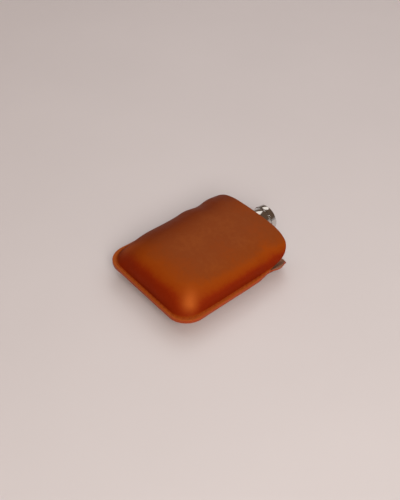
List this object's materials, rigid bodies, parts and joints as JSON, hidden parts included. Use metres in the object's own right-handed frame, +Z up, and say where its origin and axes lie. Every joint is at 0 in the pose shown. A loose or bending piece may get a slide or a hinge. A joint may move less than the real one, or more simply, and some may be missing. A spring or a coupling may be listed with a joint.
{
  "type": "leather-wrapped flask",
  "caption": "Pocket flask of two welded steel shells in a moulded tan leather cover with a sewn flange, lying on its back, closed by a polished screw cap on a threaded neck.",
  "frame": {"origin": "middle of the base of the object's box, on the surface that it lies on", "axes": "+X across the flask, +Y along it towards the cap, +Z up through the front panel"},
  "size_m": [0.085, 0.1142, 0.0298],
  "materials": {
    "leather": "smooth waxed tan leather, satin sheen, burnished edges",
    "thread": "waxed thread in the colour of the leather",
    "satin_steel": "satin stainless steel",
    "polished_steel": "polished stainless steel",
    "insert_plastic": "moulded dark plastic",
    "seal_rubber": "off-white silicone"
  },
  "bodies": {
    "flask": {"front_panel": "leather", "back_panel": "leather", "front_seam_thread": "thread", "back_seam_thread": "thread", "front_shell": "satin_steel", "back_shell": "satin_steel", "neck_collar": "polished_steel", "threaded_neck": "satin_steel"},
    "seal": {"cap_seal": "seal_rubber"},
    "cap": {"cap_shell": "polished_steel", "cap_insert": "insert_plastic"}
  },
  "joints": [
    {"name": "cap_lift", "type": "slide", "parent": "flask", "child": "seal", "axis": [0, 1, 0], "range_m": [0, 0.012]},
    {"name": "cap_turn", "type": "hinge", "parent": "seal", "child": "cap", "pos_m": [0, 0.05, 0.0149], "axis": [0, 1, 0], "range_deg": [0, 1441]}
  ],
  "couplings": [
    {"joint": "cap_turn", "follows": "cap_lift", "rad_per_m": 2094.4}
  ]
}
